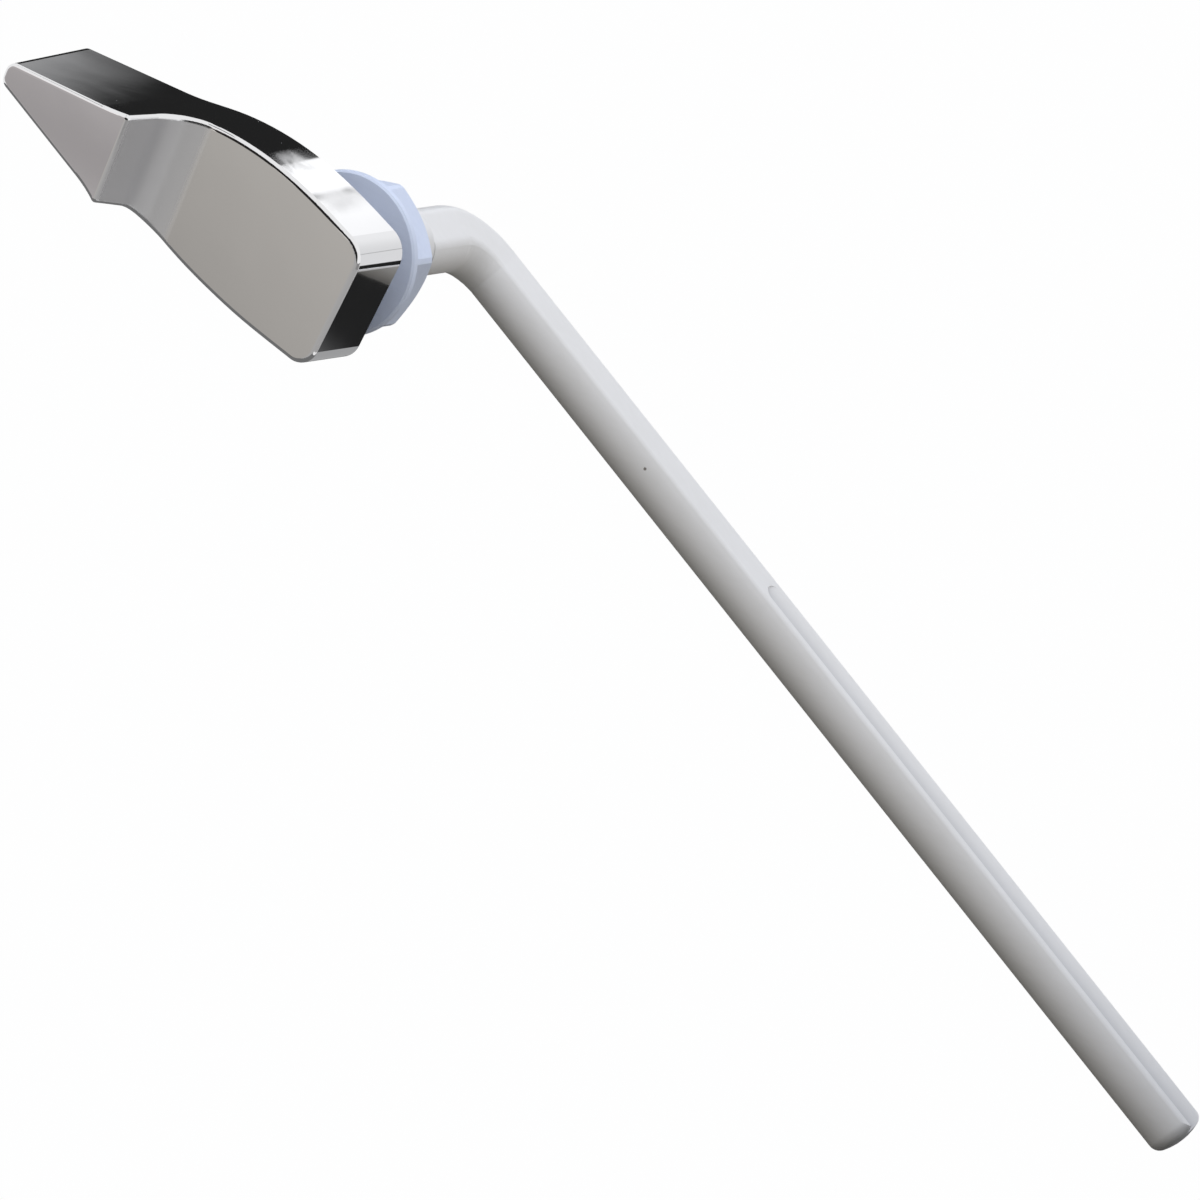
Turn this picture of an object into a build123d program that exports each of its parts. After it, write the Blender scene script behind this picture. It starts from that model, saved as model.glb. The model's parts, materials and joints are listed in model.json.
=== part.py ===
from build123d import *
import math
import os

# All sizes are in millimetres and degrees.
# The plane y = 0 is the outer face of the cistern wall and the spindle turns about the Y axis.
# +X runs along the wall to the user's right, +Y goes into the cistern, +Z is up.

# Fits
journal_play = 0.05
socket_play = 0.05
nut_play = 0.30
end_play = 0.10
face_gap = 0.20
edge_break = 0.4

# Bushing that fills the hole in the wall
seat_radius = 11.0
seat_thick = 2.0
key_side = 15.0
key_corner = 2.0
key_length = 3.6
thread_radius = key_side / 2
sleeve_radius = 7.0
thread_runout = 10.4
nose_radius = 6.5
sleeve_length = 30.4
journal_radius = 5.0
bore_radius = journal_radius + journal_play

# Nut
grip = 6.0
nut_radius = 16.0
nut_rim = 2.0
nut_cone = 1.5
nut_height = 10.0
nut_flats = 27.2
nut_corner_radius = 15.4
nut_corner_angle = 20.0
nut_chamfer = 2.0
nut_chamfer_run = 1.9
nut_bore_radius = thread_radius + nut_play

# Handle
rim_gap = 0.5
wall = 1.3
head_depth = 17.0
tail_tip_depth = 31.0
fold_depth = 33.0
fold_x = -33.2
cove_foot_x = -31.0
cove_radius = 8.0
edge_round = 0.9
tip_x = -64.6
tip_draft = 2.0
tip_spare = 0.5
tip_top = 12.5
tip_bottom = 8.8
tip_round = 2.2
end_top = (16.0, 10.2)
end_bottom = (13.6, -16.7)
end_top_round = 5.5
end_bottom_round = 4.2
top_end_slope = -0.30
bottom_end_slope = 0.19
top_curve = [(-40.0, 14.7), (-28.0, 16.7), (-19.0, 17.4), (-8.0, 16.6), (4.0, 13.9)]
bottom_curve = [
    (-40.0, -0.2),
    (-34.6, -2.8),
    (-31.0, -5.3),
    (-27.0, -7.4),
    (-22.0, -9.3),
    (-13.0, -11.9),
    (-3.0, -14.1),
]

# Boss, ribs and stop inside the handle
boss_radius = 6.5
rib_thick = 1.6
rail_inner = 7.6
rail_outer = 10.4
rail_height = 2.0
rail_clearance = 0.5
tooth_inset = 0.3
lever_travel = 40.0
stop_margin = 1.5

# Spindle end of the arm
square_side = 7.0
square_length = 12.0
split_width = 1.6
split_length = 8.0
barb_height = 0.5
barb_length = 2.0
barb_width = 3.0
window_margin = 0.3

# Arm
collar_radius = 6.5
collar_flat = 5.4
collar_edge_round = 2.5
arm_radius = 5.7
arm_flat = 4.4
arm_edge_round = 1.2
elbow_corner = 52.3
elbow_radius = 12.0
elbow_turn = 75.0
arm_droop = 29.5
arm_reach = 221.0
arm_end_dome = 12.0
arm_end_round = 2.5
groove_width = 4.4
groove_depth = 1.8
groove_exit = 6.0
groove_start = 88.8


def prism(sketch, y_front, y_back):
    # A sketch in X and Z, drawn out between two stations on the spindle axis.
    return extrude(Plane.XZ.offset(-y_back) * sketch, amount=y_back - y_front)


def rod(radius, y_front, y_back):
    return prism(Circle(radius), y_front, y_back)


def sector(radius, start, stop):
    # A pie slice in X and Z, for stops that end on radial planes.
    steps = 6
    points = [(0.0, 0.0)]
    for i in range(steps + 1):
        angle = math.radians(start + (stop - start) * i / steps)
        points.append((radius * math.cos(angle), radius * math.sin(angle)))
    return make_face(Polyline(*points, close=True))


def inset_ring(points, inset):
    # Moves every side of a clockwise ring of points inwards by the same amount.
    moved = []
    count = len(points)
    for i in range(count):
        here = Vector(*points[i])
        before = (here - Vector(*points[i - 1])).normalized()
        after = (Vector(*points[(i + 1) % count]) - here).normalized()
        first = Vector(before.Y, -before.X)
        second = Vector(after.Y, -after.X)
        corner = here + (first + second) * (inset / (1 + first.dot(second)))
        moved.append((corner.X, corner.Y))
    return moved


def beyond_tip(inner, tip):
    # The point on a straight side of the tail, carried on past the tip by a little spare length.
    rise = (tip[1] - inner[1]) / (tip[0] - inner[0])
    return (tip[0] - tip_spare, tip[1] - rise * tip_spare)


def handle_outline(inset):
    # The handle seen from the front: straight tail, two long curves, straight end.
    tip_upper = beyond_tip(top_curve[0], (tip_x, tip_top))
    tip_lower = beyond_tip(bottom_curve[0], (tip_x, tip_bottom))
    ring = [tip_upper] + top_curve + [end_top, end_bottom]
    ring = inset_ring(ring + bottom_curve[::-1] + [tip_lower], inset)
    top_count = len(top_curve)
    top = ring[1:top_count + 2]
    bottom = ring[top_count + 2:-1]
    top_start = Vector(*top[0]) - Vector(*ring[0])
    bottom_stop = Vector(*ring[-1]) - Vector(*bottom[-1])
    edges = [
        Line(ring[0], top[0]),
        Spline(*top, tangents=[top_start, (1.0, top_end_slope)]),
        Line(top[-1], bottom[0]),
        Spline(*bottom, tangents=[(-1.0, bottom_end_slope), bottom_stop]),
        Line(bottom[-1], ring[-1]),
        Line(ring[-1], ring[0]),
    ]
    return make_face(edges)


def handle_plan(back, inset):
    # The handle seen from above: tail face, fold, cove and head face.
    reach = 25.0
    tip_front = tip_x + tip_draft
    left = tip_x - tip_draft * back / tail_tip_depth
    points = [
        (tip_front, -tail_tip_depth),
        (fold_x, -fold_depth),
        (cove_foot_x, -head_depth),
        (end_top[0] + reach, -head_depth),
        (end_top[0] + reach, back),
        (left, back),
    ]
    face = make_face(Polyline(*points, close=True))
    foot = face.vertices().sort_by_distance((cove_foot_x, -head_depth, 0))[0]
    face = fillet(foot, cove_radius)
    if inset > 0:
        face = offset(face, amount=-inset, kind=Kind.INTERSECTION)
    return face


def handle_block(inset, back):
    # Front view and plan meet in one block, with its upright corners rounded.
    body = prism(handle_outline(inset), -2 * fold_depth, back)
    low_corner = body.edges().filter_by(Axis.Y).sort_by(Axis.X)[-2:].sort_by(Axis.Z)[0]
    body = fillet(low_corner, end_bottom_round - inset)
    high_place = (end_top[0], -fold_depth, end_top[1])
    high_corner = body.edges().filter_by(Axis.Y).sort_by_distance(high_place)[0]
    body = fillet(high_corner, end_top_round - inset)
    plan = extrude(handle_plan(back, inset), amount=2 * tail_tip_depth, both=True)
    body = body & plan
    tip_face = body.faces().sort_by(Axis.X)[0]
    tip_edges = [edge for edge in tip_face.edges() if abs(edge.tangent_at(0.5).Y) > 0.9]
    return fillet(tip_edges, tip_round - inset)


def round_front(block):
    # The whole edge of the front face and the fold itself get one small round.
    fold = block.edges().filter_by(Axis.Z).sort_by_distance((fold_x, -fold_depth, 0))[0]
    chosen = [fold]
    for edge in block.edges():
        middle = edge.center()
        direction = edge.tangent_at(0.5)
        upright = abs(direction.Z) > 0.999 and middle.X < 0
        crosswise = abs(direction.Y) > 0.999 and middle.Y > -head_depth
        if middle.Y < -head_depth + 0.1 and not upright and not crosswise:
            chosen.append(edge)
    return fillet(chosen, edge_round)


def make_handle():
    outer = round_front(handle_block(0.0, -rim_gap))
    hollow = handle_block(wall, wall + rim_gap)
    shell = outer - hollow
    boss = rod(boss_radius, -head_depth + wall / 2, boss_end)
    rib_back = -seat_thick - rail_height - rail_clearance
    rib_front = -head_depth + wall / 2
    rib_line = Pos((fold_x + end_top[0]) / 2, 0) * Rectangle(end_top[0] - fold_x, rib_thick)
    rib = prism(rib_line, rib_front, rib_back)
    web_x = fold_x - wall / 2
    web = prism(Pos(web_x, 0) * Rectangle(rib_thick, 2 * fold_depth), -fold_depth + wall / 2, rib_back)
    tooth_mid = (rail_inner + rail_outer) / 2
    tooth_size = rail_outer - rail_inner - 2 * tooth_inset
    tooth_back = -seat_thick - rail_clearance
    tooth = Rectangle(tooth_size, rib_thick)
    teeth = prism(Pos(tooth_mid, 0) * tooth, rib_back, tooth_back)
    teeth += prism(Pos(-tooth_mid, 0) * tooth, rib_back, tooth_back)
    inside = (rib + web) & outer
    handle = shell + boss + inside + teeth
    socket_side = square_side + 2 * socket_play
    socket_floor = square_tip - window_margin
    handle -= prism(Rectangle(socket_side, socket_side), socket_floor, boss_end)
    window = Rectangle(barb_width + 2 * window_margin, 3 * boss_radius)
    handle -= prism(window, socket_floor, square_tip + barb_length + window_margin)
    return handle


def make_bushing():
    seat = rod(seat_radius, -seat_thick, 0)
    seat = chamfer(seat.edges().group_by(Axis.Y)[0], edge_break)
    tooth_angle = math.degrees(math.asin(rib_thick / 2 / (rail_inner + tooth_inset)))
    free_start = -tooth_angle - stop_margin
    free_stop = lever_travel + tooth_angle + stop_margin
    rail = Circle(rail_outer) - Circle(rail_inner)
    rail -= sector(2 * rail_outer, free_start, free_stop)
    rail -= sector(2 * rail_outer, free_start + 180, free_stop + 180)
    rails = prism(rail, -seat_thick - rail_height, -seat_thick)
    key = prism(RectangleRounded(key_side, key_side, key_corner), 0, key_length)
    sleeve = rod(sleeve_radius, key_length, thread_end)
    sleeve = chamfer(sleeve.edges().group_by(Axis.Y)[-1], edge_break)
    nose = rod(nose_radius, thread_end, sleeve_length)
    nose = chamfer(nose.edges().group_by(Axis.Y)[-1], edge_break)
    bushing = seat + rails + key + sleeve + nose
    return bushing - rod(bore_radius, -2 * seat_thick, 2 * sleeve_length)


def make_nut():
    flange = rod(nut_radius, grip, grip + nut_rim)
    flange = chamfer(flange.edges(), edge_break)
    back = grip + nut_height
    across_corners = nut_flats / math.cos(math.radians(30))
    hexagon = RegularPolygon(across_corners / 2, 6, rotation=nut_corner_angle)
    rim_middle = grip + nut_rim / 2
    rim_back = grip + nut_rim
    cone_line = Polyline(
        (0, rim_middle),
        (nut_radius - 1.5 * edge_break, rim_middle),
        (nut_radius - 1.5 * edge_break, rim_back),
        (nut_flats / 2, rim_back + nut_cone),
        (0, rim_back + nut_cone),
        close=True,
    )
    cone = revolve(make_face(cone_line), Axis.Y)
    hexagon = prism(hexagon, rim_back, back)
    limit_line = Polyline(
        (0, grip),
        (nut_corner_radius, grip),
        (nut_corner_radius, back - nut_chamfer),
        (nut_corner_radius - nut_chamfer_run, back),
        (0, back),
        close=True,
    )
    limit = revolve(make_face(limit_line), Axis.Y)
    nut = flange + cone + (hexagon & limit)
    nut -= rod(nut_bore_radius, 0, 2 * back)
    circles = nut.edges().filter_by(GeomType.CIRCLE)
    mouth = [edge for edge in circles if abs(edge.radius - nut_bore_radius) < 0.01]
    return chamfer(mouth, edge_break)


def arm_section(radius, flat, edge_round):
    # A round bar with a flat on its upper side and soft edges beside the flat.
    half = math.sqrt(radius ** 2 - flat ** 2)
    sides = [
        Line((-half, flat), (half, flat)),
        ThreePointArc((half, flat), (0, -radius), (-half, flat)),
    ]
    face = make_face(sides)
    return fillet(face.vertices(), edge_round)


def make_groove(length):
    # A long round-ended notch, steep beside the near lip, whose other side swells up to the flat again.
    exit_angle = math.radians(groove_exit)
    fall = groove_depth * math.cos(exit_angle) - groove_width * math.sin(exit_angle)
    swell_radius = (groove_width ** 2 + groove_depth ** 2) / (2 * fall)
    swell_x = groove_width / 2 + swell_radius * math.sin(exit_angle)
    swell_y = arm_flat - swell_radius * math.cos(exit_angle)
    long = length + groove_width
    middle = groove_start - corner_to_bend + long / 2
    floor = Plane(origin=(0, arm_flat - groove_depth, middle), x_dir=(0, 0, 1), z_dir=(0, 1, 0))
    cut = extrude(floor * SlotOverall(long, groove_width), amount=2 * groove_depth)
    return cut - Pos(swell_x, swell_y, middle) * Cylinder(swell_radius, 2 * long)


def make_leg(collar):
    # Journal in the bushing, then a flat-topped collar that stops against the bushing's nose.
    collar_front = sleeve_length + end_play
    leg = extrude(collar, amount=collar_front - elbow_start)
    return leg + rod(journal_radius, journal_front, collar_front)


def turned_end(length):
    # A round bar whose end is slightly domed and rounded at the rim, turned from its half outline.
    span = math.asin(arm_radius / arm_end_dome)
    shoulder = (arm_radius, length - arm_end_dome * (1 - math.cos(span)))
    midway = (arm_end_dome * math.sin(span / 2), length - arm_end_dome * (1 - math.cos(span / 2)))
    sides = [
        Line((0, 0), (arm_radius, 0)),
        Line((arm_radius, 0), shoulder),
        ThreePointArc(shoulder, midway, (0, length)),
        Line((0, length), (0, 0)),
    ]
    face = make_face(sides)
    face = fillet(face.vertices().sort_by_distance((*shoulder, 0))[0], arm_end_round)
    return revolve(Plane.XZ * face, Axis.Z)


def make_bar(section, plane, length):
    # The long flat-topped bar, rounded at its end and grooved along its outer part.
    bar = extrude(section, amount=length) & plane * turned_end(length)
    return bar - plane * make_groove(length)


def make_arm():
    turn = math.radians(elbow_turn)
    along = Vector(math.sin(turn), math.cos(turn), 0)
    across = Vector(-math.cos(turn), math.sin(turn), 0)
    bend_start = Vector(0, elbow_start, 0)
    bend_end = bend_start + Vector(0, 1, 0) * corner_to_bend + along * corner_to_bend
    leg_plane = Plane(origin=bend_start, x_dir=(-1, 0, 0), z_dir=(0, 1, 0))
    bar_plane = Plane(origin=bend_end, x_dir=across, z_dir=along)
    path = TangentArc(bend_start, bend_end, tangent=(0, 1, 0))
    thick = leg_plane * arm_section(collar_radius, collar_flat, collar_edge_round)
    thin = bar_plane * arm_section(arm_radius, arm_flat, arm_edge_round)
    elbow = sweep([thick, thin], path, multisection=True)
    bar = make_bar(thin, bar_plane, arm_reach - corner_to_bend)
    arm = Rot(0, arm_droop, 0) * (make_leg(thick) + elbow + bar)
    return arm + make_spindle_end()


def make_spindle_end():
    # A split square with two barbs that click into the windows of the handle's boss.
    end = prism(Rectangle(square_side, square_side), square_tip, journal_front + seat_thick)
    end = chamfer(end.edges().group_by(Axis.Y)[0], edge_break)
    half = square_side / 2
    barb_line = Polyline(
        (square_tip + edge_break, half - edge_break),
        (square_tip + barb_length, half + barb_height),
        (square_tip + barb_length, half - edge_break),
        close=True,
    )
    barb = extrude(Plane.YZ * make_face(barb_line), amount=barb_width / 2, both=True)
    end += barb
    end += Rot(0, 180, 0) * barb
    slot = Rectangle(2 * square_side, split_width)
    split = prism(slot, square_tip - split_width, square_tip + split_length)
    return end - split


boss_end = -seat_thick - face_gap
journal_front = boss_end + socket_play
square_tip = journal_front - square_length
thread_end = sleeve_length - thread_runout
corner_to_bend = elbow_radius * math.tan(math.radians(elbow_turn / 2))
elbow_start = elbow_corner - corner_to_bend

os.makedirs("parts", exist_ok=True)
export_step(make_handle(), "parts/handle.step")
export_step(make_arm(), "parts/lever_arm.step")
export_step(make_bushing(), "parts/mounting_bushing.step")
export_step(make_nut(), "parts/mounting_nut.step")
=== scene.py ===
# %% [markdown]
# # A cistern lever, dressed for its picture
#
# The lever that flushes a toilet cistern has four pieces: a chrome handle outside the wall, a white
# bushing that fills the hole in the wall, a blue nut that clamps the bushing from inside, and a
# long white arm that lifts the chain. Their shapes are finished solids. This lesson gives them
# their surfaces, their light and the camera of the photograph, and leaves every solid where it is.

# %% Load the solids
import json
import math

import bpy
from mathutils import Matrix, Vector

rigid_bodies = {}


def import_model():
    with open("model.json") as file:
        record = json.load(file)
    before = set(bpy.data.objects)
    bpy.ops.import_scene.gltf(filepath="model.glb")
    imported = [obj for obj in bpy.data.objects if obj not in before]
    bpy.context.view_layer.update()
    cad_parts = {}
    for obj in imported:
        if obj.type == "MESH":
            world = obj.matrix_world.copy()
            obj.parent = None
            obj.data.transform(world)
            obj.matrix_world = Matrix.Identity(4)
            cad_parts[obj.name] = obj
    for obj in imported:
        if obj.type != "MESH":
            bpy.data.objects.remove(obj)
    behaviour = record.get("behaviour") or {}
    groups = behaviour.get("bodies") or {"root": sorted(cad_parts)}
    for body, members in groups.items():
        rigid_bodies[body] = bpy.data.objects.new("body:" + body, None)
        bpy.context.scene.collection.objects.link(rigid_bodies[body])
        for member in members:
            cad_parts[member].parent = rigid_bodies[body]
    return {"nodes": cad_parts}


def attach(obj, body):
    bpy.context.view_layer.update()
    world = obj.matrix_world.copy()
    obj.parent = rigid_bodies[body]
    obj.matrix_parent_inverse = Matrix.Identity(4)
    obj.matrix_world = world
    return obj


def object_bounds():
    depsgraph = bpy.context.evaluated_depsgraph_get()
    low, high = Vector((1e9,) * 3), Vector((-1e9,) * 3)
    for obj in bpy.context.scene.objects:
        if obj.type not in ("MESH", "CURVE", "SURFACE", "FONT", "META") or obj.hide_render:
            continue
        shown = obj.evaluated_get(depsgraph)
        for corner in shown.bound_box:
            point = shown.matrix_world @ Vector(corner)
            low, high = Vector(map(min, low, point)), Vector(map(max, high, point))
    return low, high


def in_short(box):
    return [tuple(round(x, 4) for x in corner) for corner in box]


for leftover in list(bpy.data.objects):
    bpy.data.objects.remove(leftover)
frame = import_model()
solid_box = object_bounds()
nodes = frame["nodes"]
scene = bpy.context.scene
print("solids:", sorted(nodes), "box in metres:", in_short(solid_box))

# %% [markdown]
# ## The camera
#
# The photograph looks down a little on the lever, from the right of the handle, and the picture
# itself is turned, so that upright things lean to the right. A long lens far away keeps edges that
# are parallel on the lever parallel in the picture, as they are there. The lens follows from the
# distance and from the width of wall that fills the frame, so either can be changed by itself.

# %% Place the camera
look_at = Vector((0.0709, 0.0211, -0.0395))
turn_right = math.radians(25.96)
look_down = math.radians(16.95)
picture_roll = math.radians(21.90)
camera_distance = 10.0
frame_width = 0.22857
sensor = 36.0
straight_up = Vector((0, 0, 1))

backwards = Vector((
    math.sin(turn_right) * math.cos(look_down),
    -math.cos(turn_right) * math.cos(look_down),
    math.sin(look_down),
))
level_right = straight_up.cross(backwards).normalized()
level_up = backwards.cross(level_right)
rightwards = level_right * math.cos(picture_roll) + level_up * math.sin(picture_roll)
upwards = backwards.cross(rightwards)

camera_data = bpy.data.cameras.new("long_lens")
camera_data.sensor_width = sensor
camera_data.lens = sensor * camera_distance / frame_width
camera_data.clip_end = 4 * camera_distance
camera = bpy.data.objects.new("long_lens", camera_data)
turning = Matrix((rightwards, upwards, backwards)).transposed().to_4x4()
camera.matrix_world = Matrix.Translation(look_at + backwards * camera_distance) @ turning
scene.collection.objects.link(camera)
scene.camera = camera
print("lens in millimetres:", round(camera_data.lens))

# %% [markdown]
# ## A bench for shaders
#
# A finish is easiest to read as arithmetic, such as `1 - mask`. The class below wraps one output
# socket, and each operator or limit adds one Math node behind it. Every other node comes from one
# method, `make`, which sets the node up first and then fills or links its sockets. Materials and
# the surroundings of the studio are both drawn with it.


# %% Sockets that can be added and multiplied
class Value:
    def __init__(self, bench, socket):
        self.bench = bench
        self.socket = socket

    def math(self, operation, *inputs):
        return self.bench.make("ShaderNodeMath", {"operation": operation}, inputs)

    def __add__(self, other):
        return self.math("ADD", self, other)

    def __sub__(self, other):
        return self.math("SUBTRACT", self, other)

    def __rsub__(self, other):
        return self.math("SUBTRACT", other, self)

    def __mul__(self, other):
        return self.math("MULTIPLY", self, other)

    def __abs__(self):
        return self.math("ABSOLUTE", self)

    def at_least(self, limit):
        return self.math("MAXIMUM", self, limit)

    def at_most(self, limit):
        return self.math("MINIMUM", self, limit)

    def root(self):
        return self.math("SQRT", self)

    __radd__ = __add__
    __rmul__ = __mul__


class Bench:
    def __init__(self, tree):
        self.tree = tree
        tree.nodes.clear()

    def make(self, kind, settings=None, sockets=None, output=0):
        node = self.tree.nodes.new(kind)
        for name, setting in (settings or {}).items():
            setattr(node, name, setting)
        named = sockets.items() if isinstance(sockets, dict) else enumerate(sockets or [])
        for key, value in named:
            if isinstance(value, Value):
                self.tree.links.new(value.socket, node.inputs[key])
            else:
                node.inputs[key].default_value = value
        return Value(self, node.outputs[output]) if node.outputs else node


print("bench ready")

# %% [markdown]
# ## Helpers that most finishes share
#
# Noise, soft steps and mixes of two colours turn up in every finish. Places are read in metres, in
# the lever's own frame, so a scale of 1000 means one noise blob for each millimetre. A soft band is
# a step up followed by a step down. Colours and directions go through Mix and Vector Math nodes,
# because a Math node knows only single numbers.


# %% Materials, noise and steps
def new_material(name):
    material = bpy.data.materials.new(name)
    material.use_nodes = True
    return material, Bench(material.node_tree)


def finish_with(bench, shader):
    bench.make("ShaderNodeOutputMaterial", None, {"Surface": shader})


def place_of(bench):
    return bench.make("ShaderNodeTexCoord", output="Object")


def part_of(vector, axis):
    return vector.bench.make("ShaderNodeSeparateXYZ", None, [vector], output=axis)


def noise(place, scale, detail=2.0):
    sockets = {"Vector": place, "Scale": scale, "Detail": detail}
    return place.bench.make("ShaderNodeTexNoise", None, sockets)


def soft_step(value, start, stop):
    settings = {"interpolation_type": "SMOOTHSTEP"}
    sockets = {"Value": value, "From Min": start, "From Max": stop}
    return value.bench.make("ShaderNodeMapRange", settings, sockets)


def soft_band(value, rise, fall):
    return soft_step(value, *rise) * (1 - soft_step(value, *fall))


print("steps ready")

# %% Colours and directions
# A Mix node has sockets for each kind of data. These are the ones for colours.
mix_share, mix_first, mix_second, mix_result = 0, 6, 7, 2


def paint(colour):
    return colour if isinstance(colour, Value) else (*colour, 1.0)


def mix_colours(share, first, second):
    sockets = {mix_share: share, mix_first: paint(first), mix_second: paint(second)}
    return share.bench.make("ShaderNodeMix", {"data_type": "RGBA"}, sockets, output=mix_result)


def scaled(vector, factor):
    sockets = {0: vector, "Scale": factor}
    return factor.bench.make("ShaderNodeVectorMath", {"operation": "SCALE"}, sockets)


def vector_math(operation, first, *others, output="Vector"):
    settings = {"operation": operation}
    return first.bench.make("ShaderNodeVectorMath", settings, [first, *others], output)


print("mixes ready")

# %% [markdown]
# ## Chrome on the handle
#
# The handle is a zinc casting, polished and then plated. Chrome is almost all reflection, so its
# colour is a light neutral grey and its look comes from what stands round it. Polishing leaves long
# shallow waves that bend reflections a little, and dust settles on what faces up. Both are part of
# the surface here: the waves as a bump, the dust as tiny pale dots that are rough and not metal.
#
# The wheel doesn't treat all of the casting alike. It leans on the flat end of the handle, which so
# faces down by three or four degrees more than it was cast, and it can't get well into the cove,
# where the polish stays softer. The first is a tipped normal, the second a rougher finish.

# %% Waves, dust and a leaning normal
wave_height = 0.00002
long_wave_scale, long_wave_share = 60.0, 0.9
short_wave_scale, short_wave_share = 240.0, 0.08
dust_scale = 300.0
dot_edge = (0.02, 0.035)
facing_up = (0.5, 0.8)


def polishing_waves(place):
    long_waves = noise(place, long_wave_scale, 1.0) * long_wave_share
    short_waves = noise(place, short_wave_scale, 1.0) * short_wave_share
    sockets = {"Distance": wave_height, "Height": long_waves + short_waves}
    return place.bench.make("ShaderNodeBump", None, sockets)


def settled_dust(place, upward):
    sockets = {"Vector": place, "Scale": dust_scale}
    cells = place.bench.make("ShaderNodeTexVoronoi", None, sockets)
    return (1 - soft_step(cells, *dot_edge)) * soft_step(upward, *facing_up)


def tipped(normal, lift):
    settings = {"vector_type": "NORMAL", "convert_from": "OBJECT", "convert_to": "WORLD"}
    rise = normal.bench.make("ShaderNodeVectorTransform", settings, [(0.0, 0.0, 1.0)])
    return vector_math("NORMALIZE", vector_math("ADD", normal, scaled(rise, lift)))


print("waves of", wave_height, "metres at most")

# %% Polished chrome
chrome_grey = (0.80, 0.80, 0.81)
dust_grey = (0.70, 0.70, 0.72)
end_starts = (0.010, 0.012)
end_faces_right = (0.97, 0.99)
end_lean = math.radians(-3.5)
cove_starts = (-0.0335, -0.0330)
cove_stops = (-0.0255, -0.0225)
top_and_bottom = (0.05, 0.15)
best_polish, haze_roughness, dust_roughness, cove_roughness = 0.03, 0.03, 0.5, 0.25


def polished_chrome():
    material, bench = new_material("polished_chrome")
    place = place_of(bench)
    facing = bench.make("ShaderNodeTexCoord", output="Normal")
    along = part_of(place, "X")
    upward = part_of(facing, "Z")
    dust = settled_dust(place, upward)
    haze = noise(place, 90.0, 3.0)
    at_end = soft_step(along, *end_starts) * soft_step(part_of(facing, "X"), *end_faces_right)
    upright = 1 - soft_step(upward * upward, *top_and_bottom)
    in_cove = soft_band(along, cove_starts, cove_stops) * upright
    polish = best_polish + haze * haze_roughness + dust * dust_roughness
    shader = bench.make("ShaderNodeBsdfPrincipled", None, {
        "Base Color": mix_colours(dust, chrome_grey, dust_grey),
        "Metallic": 1 - dust * 0.6,
        "Roughness": polish + in_cove * cove_roughness,
        "Normal": tipped(polishing_waves(place), at_end * end_lean),
    })
    finish_with(bench, shader)
    return material


chrome = polished_chrome()
print("made", chrome.name)

# %% [markdown]
# ## Moulded plastic
#
# Bushing, arm and nut are injection moulded. Such plastic is never one flat colour: it has faint
# clouds where the melt cooled at different rates, streaks along the way it flowed, and the fine
# grain of the mould. Light also goes a little way into it, which softens the edge of a shadow. The
# streaks are noise that is stretched along the flow, so one function serves all three pieces.

# %% Blue and white plastic
cloud_scale, cloud_share, streak_share = 70.0, 0.6, 0.4
flow_stretch = (12.0, 900.0, 900.0)
tone_range = (0.3, 0.7)
grain_scale, grain_height = 2600.0, 0.000006
light_depth = (0.002, 0.002, 0.002)
along_spindle = (0.0, 0.0, math.radians(90.0))


def moulded_plastic(name, colour, shade, flow, roughness, marks_and_shade=None):
    material, bench = new_material(name)
    place = place_of(bench)
    stretched = {"Vector": place, "Rotation": flow, "Scale": flow_stretch}
    streaks = noise(bench.make("ShaderNodeMapping", None, stretched), 1.0)
    tone = noise(place, cloud_scale, 3.0) * cloud_share + streaks * streak_share
    cloudy = mix_colours(soft_step(tone, *tone_range), colour, shade)
    grain = {"Distance": grain_height, "Height": noise(place, grain_scale)}
    shader = bench.make("ShaderNodeBsdfPrincipled", None, {
        # A part may add marks and painted shade of its own to the colour.
        "Base Color": marks_and_shade(place, cloudy) if marks_and_shade else cloudy,
        "Roughness": roughness + tone * 0.1,
        "Normal": bench.make("ShaderNodeBump", None, grain),
        "Subsurface Weight": 0.1,
        "Subsurface Radius": light_depth,
        "Subsurface Scale": 1.0,
    })
    finish_with(bench, shader)
    return material


bushing_white = moulded_plastic(
    "bushing_white", (0.79, 0.79, 0.79), (0.765, 0.765, 0.76), along_spindle, 0.40)
nut_blue = moulded_plastic(
    "nut_blue", (0.675, 0.75, 0.92), (0.635, 0.71, 0.88), along_spindle, 0.42)
print("made", bushing_white.name, nut_blue.name)

# %% [markdown]
# ## A speck and painted shade on the arm
#
# The arm has one mark of its own, a dark speck in the plastic not far from the elbow. The bottom of
# its groove is also darkened in its colour. That is painted shade, standing in for the shade that
# falls into the groove. The groove is found by measuring from the elbow's corner, along the arm and
# square to it, and the speck by its place. Both are places on the arm itself, so the speck and the
# painted shade turn with the lever.

# %% The arm's plastic
arm_corner = (0.0, 0.0523, 0.0)
arm_way = Vector((0.8407, 0.2588, -0.4757))
arm_top = Vector((0.4924, 0.0, 0.8704))
arm_near = arm_way.cross(arm_top)
arm_flow = (0.0, math.radians(29.5), math.radians(-15.0))
groove_starts, groove_stops = (0.0880, 0.0890), (0.2200, 0.2203)
groove_far_side, groove_near_side = (-0.0024, -0.0020), (0.0021, 0.0024)
groove_floor, groove_mouth = (0.0, 0.001), (0.0030, 0.0045)
# The colour of the painted shade in the bottom of the groove.
groove_painted_shade = (0.61, 0.615, 0.635)
speck = (0.0496, 0.0617, -0.0258)
speck_edge = (0.0002, 0.0004)
speck_brown = (0.22, 0.20, 0.18)


def measure(place, way):
    offset = vector_math("SUBTRACT", place, arm_corner)
    return vector_math("DOT_PRODUCT", offset, way, output="Value")


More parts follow.
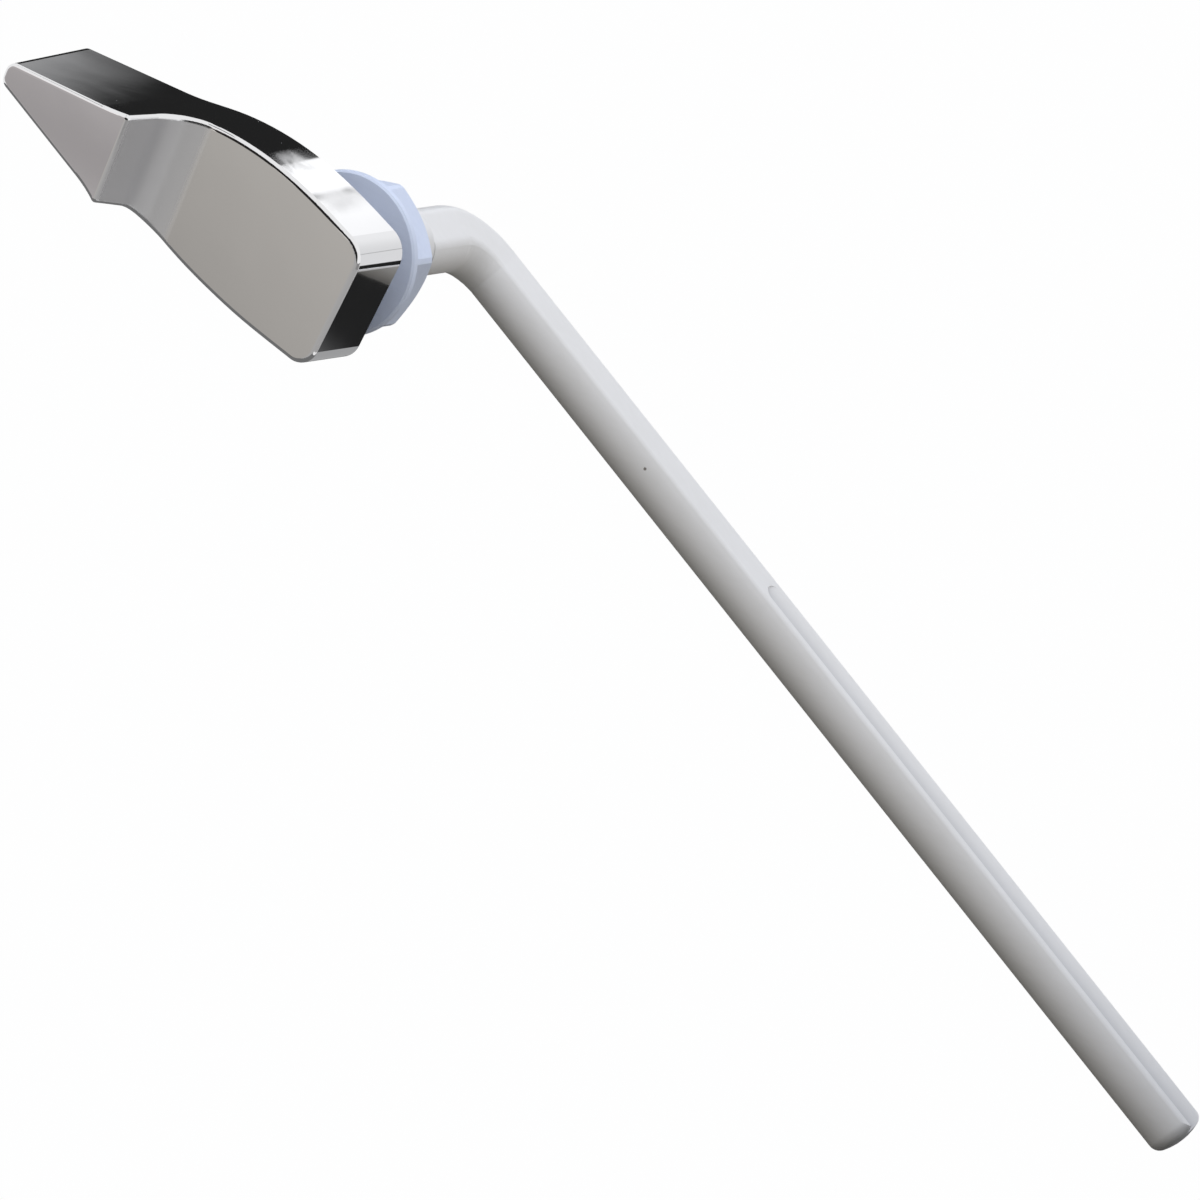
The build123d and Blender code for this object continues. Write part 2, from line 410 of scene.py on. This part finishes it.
def speck_and_groove_shade(place, plain):
    grooved = soft_band(measure(place, arm_way), groove_starts, groove_stops)
    between = soft_band(measure(place, arm_near), groove_far_side, groove_near_side)
    sunk = soft_band(measure(place, arm_top), groove_floor, groove_mouth)
    # Painted shade: the bottom of the groove is darkened in the colour.
    groove_shaded = mix_colours(grooved * between * sunk, plain, groove_painted_shade)
    away = vector_math("DISTANCE", place, speck, output="Value")
    return mix_colours(1 - soft_step(away, *speck_edge), groove_shaded, speck_brown)


# The arm's colour carries its speck and the painted shade in its groove.
arm_white = moulded_plastic(
    "arm_white", (0.80, 0.80, 0.80), (0.775, 0.775, 0.77), arm_flow, 0.36, speck_and_groove_shade)
print("made", arm_white.name)

# %% [markdown]
# ## Dressing the solids
#
# Each solid keeps its mesh and only gets its finish.

# %% Give each solid its finish
finishes = {
    "handle": chrome,
    "lever_arm": arm_white,
    "mounting_bushing": bushing_white,
    "mounting_nut": nut_blue,
}
for name, finish in finishes.items():
    nodes[name].material_slots[0].material = finish
print("dressed", len(finishes), "solids")

# %% [markdown]
# ## The thread on the bushing
#
# The nut is drawn up on a left-hand thread, so that pushing the handle never slackens it. The
# solid has a plain sleeve, and the ridge is laid round it here: a four-sided strip follows the
# helix, and sinks into the sleeve at both ends, as a moulded thread does.

# %% Wind the thread
# Each corner of the strip: its place along the sleeve in pitches, and its share of the height.
thread_profile = ((-0.36, 0.0), (-0.13, 1.0), (0.13, 1.0), (0.36, 0.0))
steps_in_turn = 48
sinking_steps = 12


def thread_points(count, pitch, begin, core, crest):
    points = []
    for step in range(count + 1):
        angle = -2 * math.pi * step / steps_in_turn
        height = min(1.0, step / sinking_steps, (count - step) / sinking_steps)
        for along, share in thread_profile:
            radius = core + (crest - core) * share * height
            y = begin + pitch * (step / steps_in_turn + along)
            points.append((radius * math.cos(angle), y, radius * math.sin(angle)))
    return points


def thread_faces(count):
    sides = len(thread_profile)
    faces = [tuple(range(sides)), tuple(sides * count + i for i in reversed(range(sides)))]
    for step in range(count):
        here = sides * step
        for i in range(sides):
            j = (i + 1) % sides
            faces.append((here + i, here + sides + i, here + sides + j, here + j))
    return faces


def wind_thread(pitch, begin, end, core, crest):
    count = int((end - begin) / pitch * steps_in_turn)
    mesh = bpy.data.meshes.new("bushing_thread")
    points = thread_points(count, pitch, begin, core, crest)
    mesh.from_pydata(points, [], thread_faces(count))
    mesh.update()
    ridge = bpy.data.objects.new("bushing_thread", mesh)
    scene.collection.objects.link(ridge)
    return ridge


thread = wind_thread(pitch=0.003, begin=0.0050, end=0.0184, core=0.0069, crest=0.0076)
thread.data.materials.append(bushing_white)
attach(thread, "bushing")
print("thread of", len(thread.data.polygons), "faces")

# %% [markdown]
# ## The studio
#
# The photograph has a white ground and soft light from above: white plastic is brightest where it
# faces up and falls off evenly to a dark underside, and it is a little warm at the side and cool on
# top. A gradient sky gives just that, warm at the horizon and cool overhead, and one soft lamp near
# the handle lifts the near end a little. The camera and every reflection see plain white instead of
# that sky.

# %% The sky
bright_way = (0.135, 0.045, 0.555)
sky_middle = 0.47
horizon_to_top = (-0.1, 0.92)
warm_light = (1.0, 0.948, 0.858)
cool_light = (0.945, 0.983, 1.08)
plain_white = (1.0, 1.0, 1.0)


def seen_directly(bench):
    kinds = ("Is Camera Ray", "Is Glossy Ray", "Is Transmission Ray")
    rays = [bench.make("ShaderNodeLightPath", output=kind) for kind in kinds]
    return rays[0] + rays[1] + rays[2]


def draw_surroundings():
    world = bpy.data.worlds.new("studio")
    world.use_nodes = True
    bench = Bench(world.node_tree)
    direction = bench.make("ShaderNodeTexCoord", output="Generated")
    lean = vector_math("DOT_PRODUCT", direction, bright_way, output="Value")
    strength = (lean + sky_middle).at_least(0.0)
    overhead = soft_step(part_of(direction, "Z"), *horizon_to_top)
    soft_light = scaled(mix_colours(overhead, warm_light, cool_light), strength)
    colour = mix_colours(seen_directly(bench), soft_light, plain_white)
    background = bench.make("ShaderNodeBackground", None, {"Color": colour, "Strength": 1.0})
    bench.make("ShaderNodeOutputWorld", None, {"Surface": background})
    return world


scene.world = draw_surroundings()
scene.view_settings.view_transform = "Standard"
print("drew", scene.world.name)


# %% The lamp
def soft_lamp(name, place, aim, size, watts):
    data = bpy.data.lights.new(name, "AREA")
    data.size = size
    data.energy = watts
    lamp = bpy.data.objects.new(name, data)
    lamp.location = place
    lamp.rotation_euler = (Vector(aim) - Vector(place)).to_track_quat("-Z", "Y").to_euler()
    lamp.visible_glossy = False
    scene.collection.objects.link(lamp)
    return lamp


fill_lamp = soft_lamp(
    "fill_lamp", place=(-0.09, -0.115, 0.25), aim=(0.05, 0.06, -0.02), size=0.16, watts=0.21)
print("hung", fill_lamp.name)

# %% [markdown]
# ## The floor
#
# A white floor well below the lever catches its shadow. Seen directly it is almost white by itself,
# with a share of real shading left in it, and it sends no light back up, because the underside of
# the lever is dark in the photograph.

# %% Lay the floor
floor_drop = 0.30
floor_reach = 6.0
floor_own_white = 0.97


def flat_board(name, corners, finish):
    mesh = bpy.data.meshes.new(name)
    mesh.from_pydata(corners, [], [(0, 1, 2, 3)])
    mesh.materials.append(finish)
    board = bpy.data.objects.new(name, mesh)
    scene.collection.objects.link(board)
    return board


def level_corners(z, left, right, near, far):
    return [(left, near, z), (right, near, z), (right, far, z), (left, far, z)]


def floor_finish():
    material, bench = new_material("floor_white")
    tone = mix_colours(noise(place_of(bench), 3.0), (0.90, 0.90, 0.90), (0.93, 0.93, 0.93))
    matt = bench.make("ShaderNodeBsdfDiffuse", None, {"Color": tone})
    white = {"Color": paint(plain_white), "Strength": 1.0}
    glow = bench.make("ShaderNodeEmission", None, white)
    share = seen_directly(bench) * floor_own_white
    finish_with(bench, bench.make("ShaderNodeMixShader", None, [share, matt, glow]))
    return material


floor_level = solid_box[0][2] - floor_drop
floor_corners = level_corners(floor_level, -floor_reach, floor_reach, -floor_reach, floor_reach)
floor = flat_board("floor", floor_corners, floor_finish())
floor.visible_diffuse = False
print("floor at", round(floor_level, 3))

# %% [markdown]
# ## Cards for the chrome
#
# Chrome shows the room, so a photographer stands cards round it. Here each card is a board with a
# painted pattern. It is seen only in reflections, so it throws no shadow and adds no light to the
# plastic. Patterns are written in metres in the lever's frame, as a way across the card and a
# height, and they are plain arithmetic: edges, slopes and peaks. A picture could be hung there
# instead, but a formula can be read and changed.

# %% Paint for the cards
mirror_fall = 0.2988


def card_finish(name, axis, draw):
    material, bench = new_material(name)
    place = place_of(bench)
    colour = draw(part_of(place, axis), part_of(place, "Z"))
    glow = bench.make("ShaderNodeEmission", None, {"Color": colour, "Strength": 1.0})
    finish_with(bench, glow)
    return material


def peak(value, middle, half_width):
    return (1 - abs(value - middle) * (1 / half_width)).at_least(0.0)


def height_on_handle(z, aside, gap):
    # The camera's rays fall as they go on from the handle to a card.
    return z + (aside * aside + gap * gap).root() * mirror_fall


print("mirrored rays fall by", mirror_fall, "metres in each metre")

# %% [markdown]
# ## The card behind
#
# The card behind the handle is black on its left and low down, which gives the handle's black top
# and end. The rest is white and gives the bright shoulder. There the photograph shows a crooked
# edge, a dark zigzag and a thin level line, so the card has them too. The first two bend with the
# depth on the shoulder at which a place is mirrored. A glow on the far left lights the tail, and a
# grey foot the low edge of the flat end.

# %% Edges on the card behind
shoulder_curve = (0.4954, 0.3037, 0.9184, 6.265)
shoulder_rise = 1.3314
# Each bend: the depth of its middle, half its width, and how far it goes to the right.
edge_bends = ((-0.0095, 0.0035, -0.034), (-0.0128, 0.0025, 0.030))
zigzag_bends = ((-0.0099, 0.0035, 0.027), (-0.0012, 0.003, 0.021))
glow_starts, glow_full, glow_level = -0.383, -0.410, 0.40
glow_slant, glow_bend, glow_pivot = 1.5, 0.157, 0.162
glow_foot = (0.1525, 0.1585)


def shoulder_depth(x, z):
    base, slope, square, cube = shoulder_curve
    return base + x * (slope + x * (square + x * cube)) - z * shoulder_rise


def crooked(depth, straight, bends):
    edge = straight
    for middle, half_width, shift in bends:
        edge = edge + peak(depth, middle, half_width) * shift
    return edge


def left_glow(x, z):
    slanted = x + (z.at_least(glow_bend) - glow_pivot) * glow_slant
    growing = {"From Min": glow_starts, "From Max": glow_full, "To Max": glow_level}
    glow = x.bench.make("ShaderNodeMapRange", None, {"Value": slanted, **growing})
    return glow * soft_step(z, *glow_foot)


print("edges with", len(edge_bends) + len(zigzag_bends), "bends")

# %% The pattern behind
back_tint = (0.985, 0.99, 1.0)
back_black = 0.018
white_starts, white_softness, white_foot = -0.240, 0.003, (-0.15, -0.14)
white_level = 1.29
near_fall, near_fall_at = 0.28, (-0.16, -0.08)
far_fall, far_fall_at = 0.18, (0.0, 0.35)
zigzag_runs, zigzag_width, zigzag_dark = -0.165, 0.009, 0.85
line_rises, line_falls, line_dark = (0.178, 0.184), (0.192, 0.198), 0.45
foot_edge, foot_grey = (-0.314, -0.294), 0.38


def back_pattern(x, z):
    depth = shoulder_depth(x, z)
    from_edge = x - crooked(depth, white_starts, edge_bends)
    white = soft_step(from_edge, -white_softness, white_softness) * soft_step(z, *white_foot)
    zigzag = peak(x - crooked(depth, zigzag_runs, zigzag_bends), 0.0, zigzag_width)
    line = soft_band(z, line_rises, line_falls)
    falls = soft_step(x, *near_fall_at) * near_fall + soft_step(x, *far_fall_at) * far_fall
    marked = (white_level - falls) * (1 - zigzag * zigzag_dark) * (1 - line * line_dark)
    foot = (1 - soft_step(z, *foot_edge)) * foot_grey
    return scaled(back_tint, back_black + left_glow(x, z) + white * marked + foot)


print("white from", white_starts, "metres on")

# %% [markdown]
# ## The card in front
#
# A grey card in front gives the even grey of the face. Tail, head and cove each mirror a stretch of
# it, from left to right, so each stretch has its own level and tint, and a soft smudge darkens the
# upper part of the cove. Near the right end is a narrow bluish stripe that grows lighter downwards.
# Its slopes are kept above zero, since a card that took light away would leave black specks.

# %% Greys on the card in front
tail_level, tail_middle, tail_curve, tail_rise = 0.367, -0.2008, 1266, 0.09
head_level, head_x, head_z = 0.437, -0.2949, -0.1944
head_slope_x, head_slope_z, head_right, head_least = 1.32, 2.46, -0.272, 0.10
cove_level, cove_fall, cove_fall_at = 0.435, 0.02, (0.0, 0.4)
front_gap, cove_x = 0.583, -0.028
smudge_edge, smudge_left, smudge_top = (0.0110, 0.0122), (-0.02, 0.1), (0.018, 0.022)
front_smudge_slope, front_smudge_from = 0.0056, 0.62


def tail_grey(z):
    off = z - tail_middle
    return tail_level + (off * off * tail_curve).at_most(tail_rise)


def head_grey(x, z):
    sideways = (x.at_most(head_right) - head_x) * head_slope_x
    return (head_level + sideways + (z - head_z) * head_slope_z).at_least(head_least)


def cove_grey(x):
    return cove_level - soft_step(x, *cove_fall_at) * cove_fall


def front_smudge(x, z):
    height = height_on_handle(z, x - cove_x, front_gap)
    above = soft_step(height - (front_smudge_from - x) * front_smudge_slope, *smudge_edge)
    return above * soft_step(x, *smudge_left) * (1 - soft_step(height, *smudge_top))


print("greys for tail, head and cove:", tail_level, head_level, cove_level)

# %% The pattern in front
tail_edge, cove_edge = (-0.40, -0.36), (-0.26, -0.15)
face_edge, tail_lift = (0.0, 0.02), 0.28
tail_tint, head_tint, cove_tint = (1.0, 0.945, 0.94), (1.0, 0.955, 0.893), (1.0, 0.985, 0.97)
front_black, front_smudge_dark = 0.02, 0.4
stripe_tint, stripe_level, stripe_gain = (0.98, 1.0, 1.09), 0.22, 7.4
stripe_middle, stripe_bend, stripe_top = -0.2304, -0.2034, (-0.19, -0.17)
stripe_left, stripe_lean, stripe_right = 0.506, 0.42, (0.522, 0.529)
stripe_softness = (-0.001, 0.002)


def with_stripe(x, z, grey):
    below = stripe_middle - z.at_most(stripe_bend)
    from_left = soft_step(x - (stripe_left + below * stripe_lean), *stripe_softness)
    stripe = from_left * (1 - soft_step(x, *stripe_right)) * (1 - soft_step(z, *stripe_top))
    return mix_colours(stripe, grey, scaled(stripe_tint, stripe_level + below * stripe_gain))


def front_pattern(x, z):
    tail = 1 - soft_step(x, *tail_edge)
    cove = soft_step(x, *cove_edge)
    head = (1 - tail) * (1 - cove)
    face = 1 - soft_step(z - tail * tail_lift, *face_edge)
    level = tail * tail_grey(z) + head * head_grey(x, z) + cove * cove_grey(x)
    shade = face * level * (1 - front_smudge(x, z) * front_smudge_dark)
    above_tail = tail * (1 - face)
    tint = mix_colours(tail, mix_colours(cove, head_tint, cove_tint), tail_tint)
    return with_stripe(x, z, scaled(tint, front_black + shade + above_tail))


print("stretches from", tail_edge, "and", cove_edge)

# %% [markdown]
# ## Cards at the side, below and above
#
# The right card goes on where the front card ends, for the part of the cove that looks furthest to
# the right, and has the rest of the smudge. A dim card below keeps what faces down dark, and a
# small grey one overhead is mirrored in the rounded upper edges. All three are faintly cloudy, as
# large boards are.

# %% The other patterns
card_cloud_scale = 4.0
right_tint, right_smudge_dark = (1.0, 0.985, 0.98), 0.35
right_gap, cove_y = 0.779, -0.02
right_smudge_slope, right_smudge_from = 0.0078, -0.6


def cloudy_grey(bench, level, clouds):
    return level + noise(place_of(bench), card_cloud_scale) * clouds


def right_pattern(y, z):
    height = height_on_handle(z, y - cove_y, right_gap)
    smudge = soft_step(height - (y - right_smudge_from) * right_smudge_slope, *smudge_edge)
    level = cloudy_grey(z.bench, level=0.415, clouds=0.03)
    return scaled(right_tint, level * (1 - smudge * right_smudge_dark))


def low_pattern(x, z):
    return scaled(plain_white, cloudy_grey(z.bench, level=0.14, clouds=0.08))


def ceiling_pattern(x, z):
    return scaled(plain_white, cloudy_grey(z.bench, level=0.30, clouds=0.05))


print("patterns for the side, below and above")


# %% Stand the cards
def facing_corners(y, left, right, low, high):
    return [(left, y, low), (right, y, low), (right, y, high), (left, y, high)]


def side_corners(x, far, near, low, high):
    return [(x, far, low), (x, near, low), (x, near, high), (x, far, high)]


# Each card: its name, the way across its pattern, the pattern and the corners.
cards = [
    ("back_card", "X", back_pattern, facing_corners(0.6, -0.46, 0.62, -0.42, 0.42)),
    ("front_card", "X", front_pattern, facing_corners(-0.6, -1.0, 0.75, -0.42, 0.5)),
    ("right_card", "Y", right_pattern, side_corners(0.75, 0.6, -0.6, -0.42, 0.05)),
    ("low_card", "X", low_pattern, level_corners(-0.40, -0.6, 0.5, -0.6, 0.58)),
    ("ceiling_card", "X", ceiling_pattern, level_corners(0.9, -0.7, -0.452, -0.32, 0.08)),
]
for name, axis, draw, corners in cards:
    card = flat_board(name, corners, card_finish(name, axis, draw))
    card.visible_camera = False
    card.visible_diffuse = False
    card.visible_shadow = False
    card.visible_transmission = False
print("stood", len(cards), "cards")

# %% [markdown]
# ## A flag beyond the arm
#
# The arm grows darker towards its free end in the photograph. A black flag just beyond the end
# takes some of the sky away there, from all sides of the arm alike. The camera and the reflections
# don't see the flag.

# %% Stand the flag
flag_distance = 0.25
flag_half = 0.08


def flag_finish():
    material, bench = new_material("flag_black")
    weave = noise(place_of(bench), 800.0)
    tone = mix_colours(weave, (0.01, 0.01, 0.01), (0.03, 0.03, 0.03))
    finish_with(bench, bench.make("ShaderNodeBsdfDiffuse", None, {"Color": tone}))
    return material


flag_middle = Vector(arm_corner) + arm_way * flag_distance
flag_side = arm_way.cross(straight_up).normalized() * flag_half
flag_rise = flag_side.cross(arm_way)
flag = flat_board("flag", [
    flag_middle - flag_side - flag_rise,
    flag_middle + flag_side - flag_rise,
    flag_middle + flag_side + flag_rise,
    flag_middle - flag_side + flag_rise,
], flag_finish())
flag.visible_camera = False
flag.visible_glossy = False
flag.visible_transmission = False
print("flag at", tuple(round(x, 3) for x in flag_middle))
